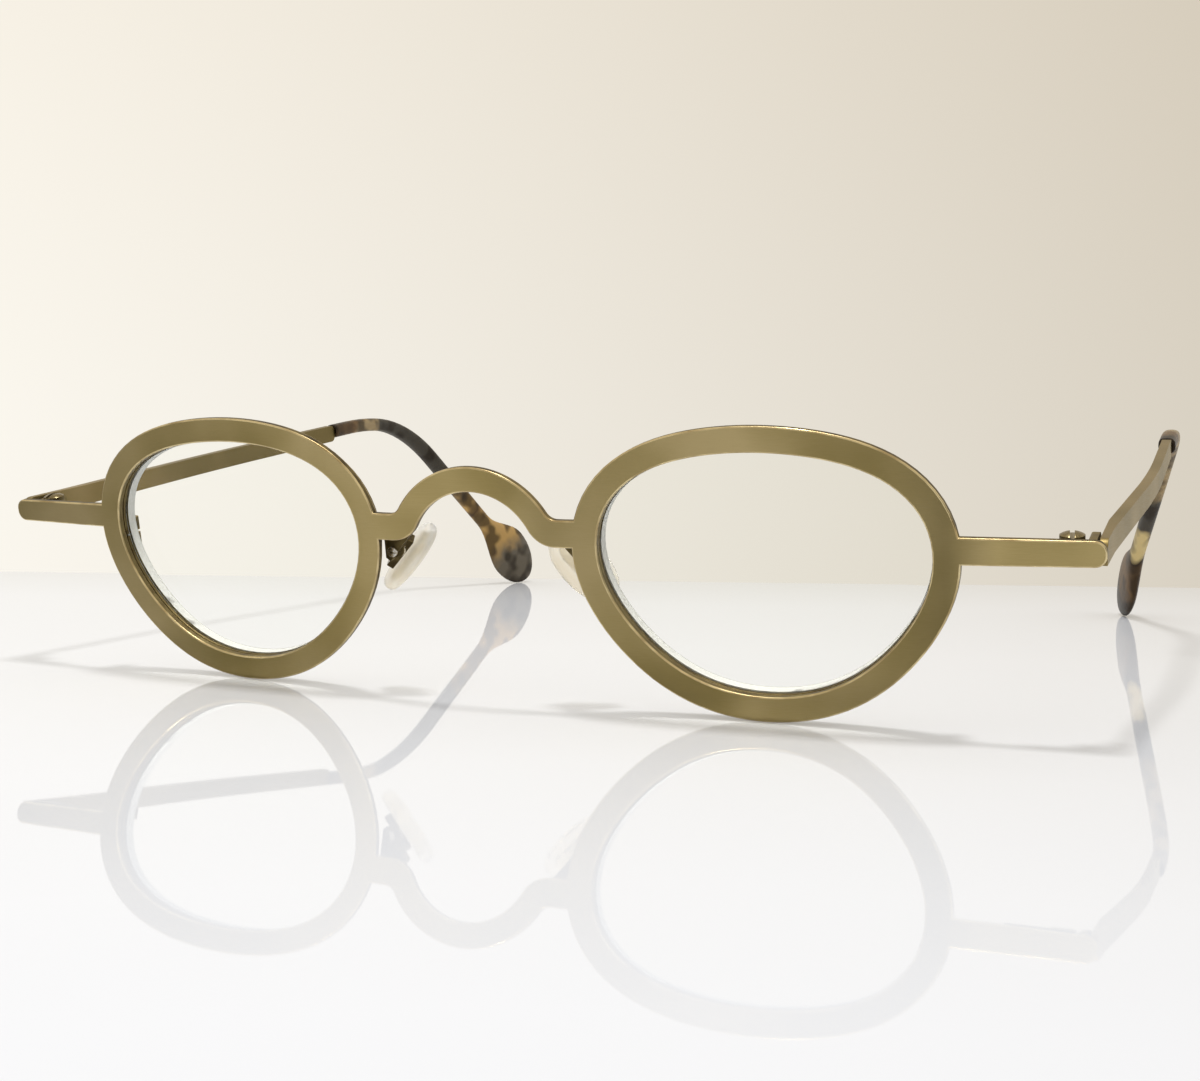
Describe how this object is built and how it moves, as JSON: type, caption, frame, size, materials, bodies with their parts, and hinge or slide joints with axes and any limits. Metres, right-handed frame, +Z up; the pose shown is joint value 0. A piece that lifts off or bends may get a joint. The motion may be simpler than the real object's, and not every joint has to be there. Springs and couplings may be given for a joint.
{
  "type": "eyeglasses",
  "caption": "Oval brass-framed eyeglasses with an arched bridge, hinged folding temples with tortoiseshell acetate tips, clear lenses and screwed silicone nose pads.",
  "frame": {"origin": "on the table under the middle of the outline, with the eyeglasses standing on both rims and both tips", "axes": "+X to the right seen from the front, +Y back along the temples, +Z up"},
  "size_m": [0.135, 0.1372, 0.0316],
  "materials": {
    "brass": "matt antique, brushed, bright bevelled edges",
    "dark_brass": "darkened cast fittings",
    "screw_steel": "turned, slotted heads",
    "lens": "clear polished, ground frosted edge",
    "acetate": "polished tortoiseshell acetate",
    "silicone": "translucent moulded silicone"
  },
  "bodies": {
    "front": {"front_plate": "brass", "left_eyewire": "brass", "left_lens": "lens", "left_lock_upper": "brass", "left_lock_lower": "brass", "left_lock_screw": "screw_steel", "left_hinge_front": "dark_brass", "left_hinge_screw": "screw_steel", "left_pad_bracket": "dark_brass", "left_pad_screw": "screw_steel", "right_eyewire": "brass", "right_lens": "lens", "right_lock_upper": "brass", "right_lock_lower": "brass", "right_lock_screw": "screw_steel", "right_hinge_front": "dark_brass", "right_hinge_screw": "screw_steel", "right_pad_bracket": "dark_brass", "right_pad_screw": "screw_steel"},
    "left_temple_arm": {"left_hinge_temple": "dark_brass", "left_temple": "brass", "left_tip": "acetate"},
    "left_nose_pad": {"left_pad_mount": "dark_brass", "left_pad": "silicone"},
    "right_temple_arm": {"right_hinge_temple": "dark_brass", "right_temple": "brass", "right_tip": "acetate"},
    "right_nose_pad": {"right_pad_mount": "dark_brass", "right_pad": "silicone"}
  },
  "joints": [
    {"name": "left_temple_fold", "type": "hinge", "parent": "front", "child": "left_temple_arm", "pos_m": [-0.06269, -0.06002, 0.01941], "axis": [0, 0.213, -0.977], "range_deg": [0, 88]},
    {"name": "right_temple_fold", "type": "hinge", "parent": "front", "child": "right_temple_arm", "pos_m": [0.06269, -0.06002, 0.01941], "axis": [0, -0.213, 0.977], "range_deg": [0, 80]},
    {"name": "left_pad_rock", "type": "hinge", "parent": "front", "child": "left_nose_pad", "pos_m": [-0.01156, -0.06285, 0.01652], "axis": [0, 0.977, 0.213], "range_deg": [-8, 8]},
    {"name": "right_pad_rock", "type": "hinge", "parent": "front", "child": "right_nose_pad", "pos_m": [0.01156, -0.06285, 0.01652], "axis": [0, 0.977, 0.213], "range_deg": [-8, 8]}
  ]
}
